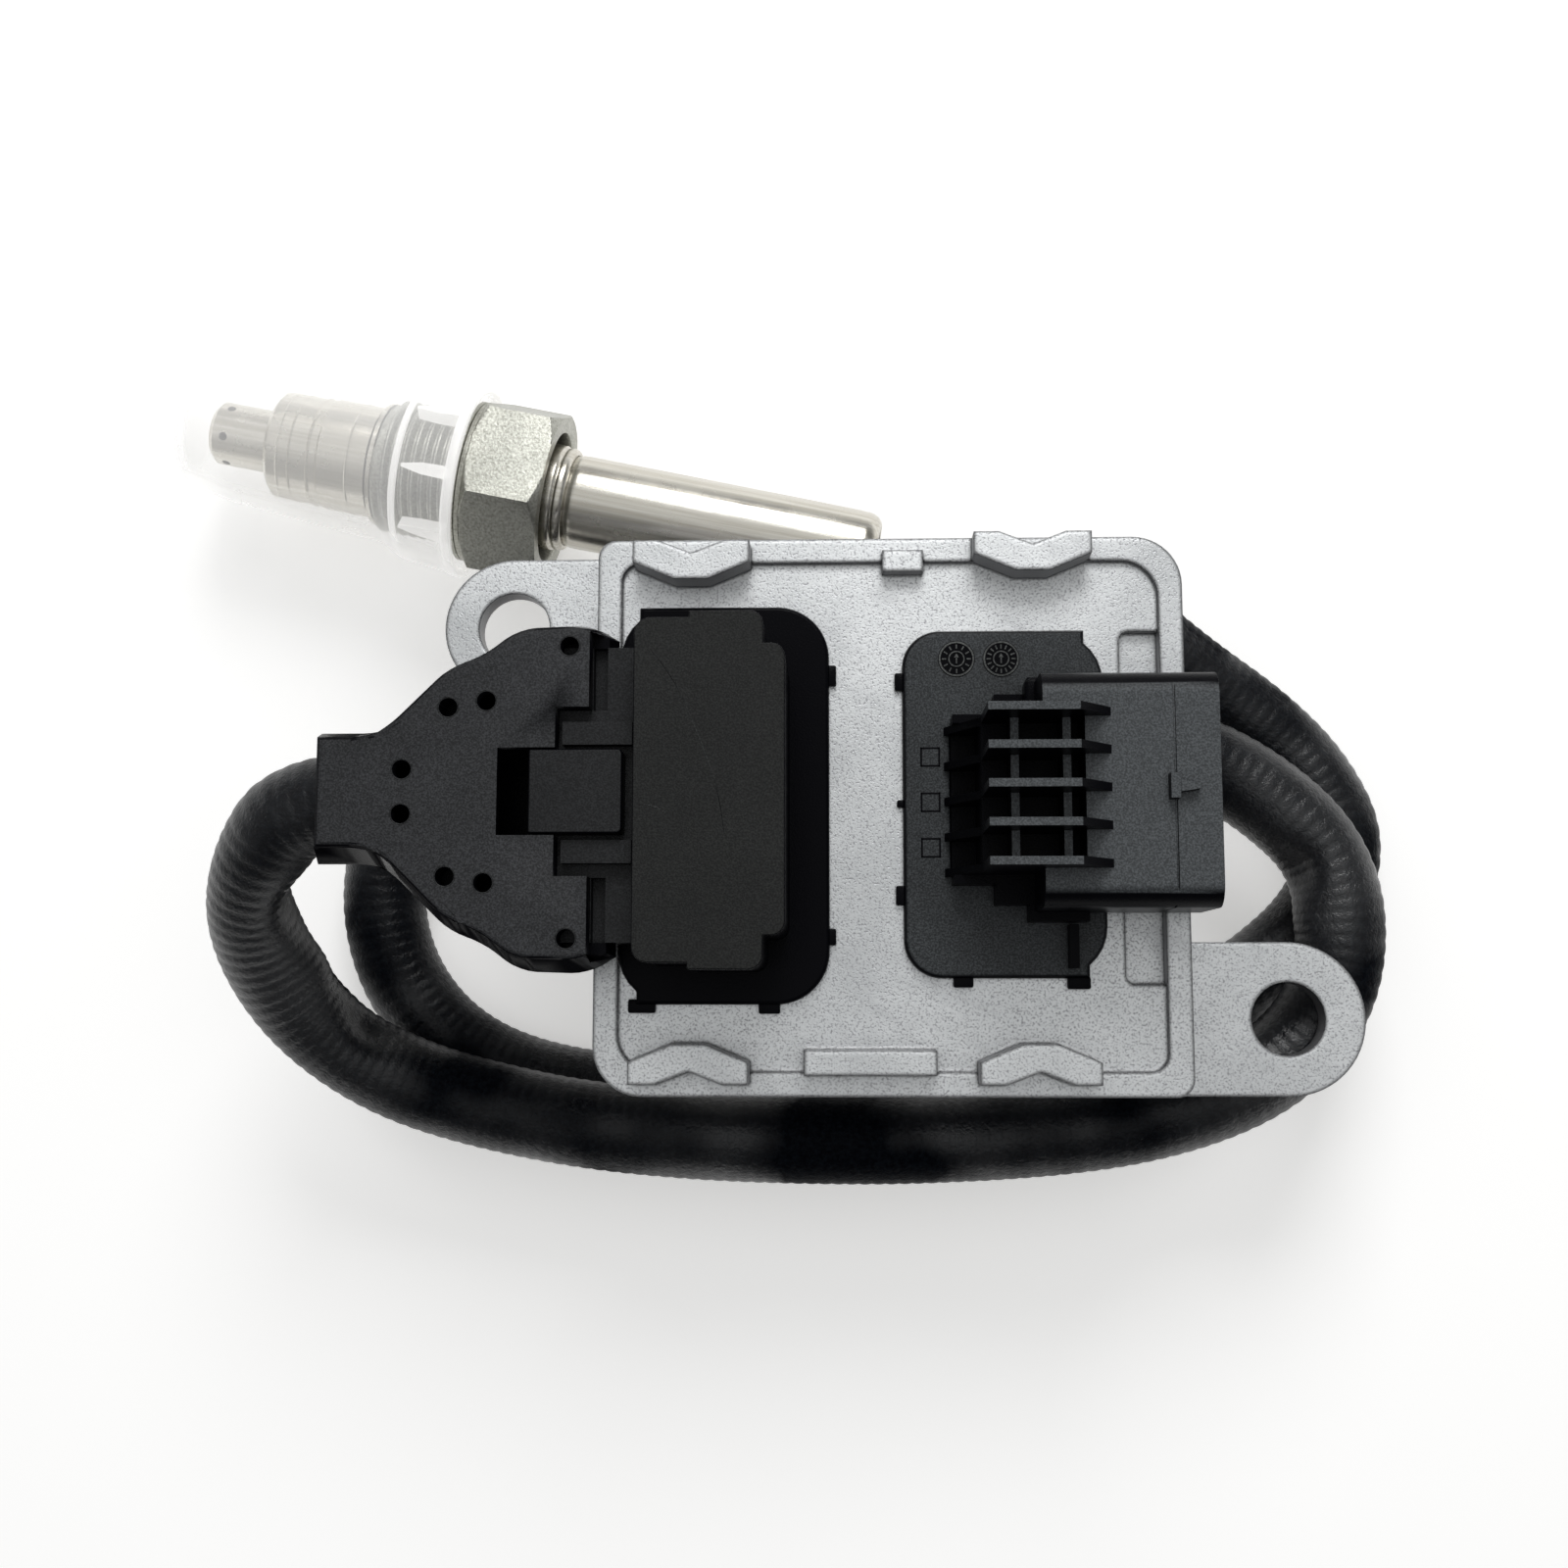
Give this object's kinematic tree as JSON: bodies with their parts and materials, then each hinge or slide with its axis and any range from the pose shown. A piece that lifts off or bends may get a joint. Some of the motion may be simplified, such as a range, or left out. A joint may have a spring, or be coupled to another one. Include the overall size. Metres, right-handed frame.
{
  "type": "nitrogen oxide sensor",
  "caption": "Exhaust gas sensor: a capped, screw-in probe on a ribbed conduit, plugged into a die-cast control unit with a second socket.",
  "frame": {"origin": "midpoint between the two ear holes, on the underside of the ears, which is the mounting plane", "axes": "+Z out of the mounting plane, towards the connectors; +X from the plug side to the open socket; +Y towards the probe"},
  "size_m": [0.1809, 0.1207, 0.0637],
  "materials": {
    "cast_aluminium": "die-cast, matte with a bright grain",
    "steel_plate": "satin",
    "plated_steel": "satin nickel plate",
    "stainless": "drawn, satin",
    "black_plastic": "glass filled, satin",
    "cover_plastic": "fine grain, matte",
    "conduit_plastic": "ribbed, satin",
    "seal_rubber": "matte",
    "seal_silicone": "matte",
    "board": "solder resist",
    "chip": "moulded",
    "can": "drawn",
    "contact": "tinned copper alloy",
    "ceramic": "sintered ceramic, opaque",
    "talc": "pressed powder",
    "cap_plastic": "translucent polyethylene"
  },
  "bodies": {
    "unit": {"housing": "cast_aluminium", "base_plate": "steel_plate", "base_gasket": "seal_rubber", "base_screws": "plated_steel", "circuit_board": "board", "processor": "chip", "driver_chips": "chip", "capacitors": "can", "sensor_header": "black_plastic", "sensor_header_pins": "contact", "sensor_header_seal": "seal_silicone", "power_header": "black_plastic", "power_pins": "contact", "power_header_seal": "seal_silicone", "plug_cover_top": "cover_plastic", "plug_cover_bottom": "cover_plastic", "plug_body": "cover_plastic", "plug_terminals": "contact", "plug_seal": "seal_silicone", "conduit": "conduit_plastic", "crimp_ring": "stainless", "probe_shell": "stainless", "guard_tube_outer": "stainless", "guard_tube_inner": "stainless", "sensing_element": "ceramic", "front_bush": "ceramic", "powder_ring": "talc", "contact_holder": "ceramic", "probe_sleeve": "stainless", "probe_grommet": "seal_rubber"},
    "nut": {"gland_nut": "plated_steel"},
    "cap": {"transport_cap": "cap_plastic"},
    "lock": {"plug_lock_slide": "cover_plastic"}
  },
  "joints": [
    {"name": "gland_nut_turn", "type": "hinge", "parent": "unit", "child": "nut", "pos_m": [-0.05, 0.0504, -0.0104], "axis": [0.9792, -0.2028, 0], "continuous": true},
    {"name": "cap_pull", "type": "slide", "parent": "nut", "child": "cap", "axis": [-0.9792, 0.2028, 0], "range_m": [0, 0.05]},
    {"name": "plug_lock", "type": "slide", "parent": "unit", "child": "lock", "axis": [-1, 0, 0], "range_m": [0, 0.0036]}
  ]
}
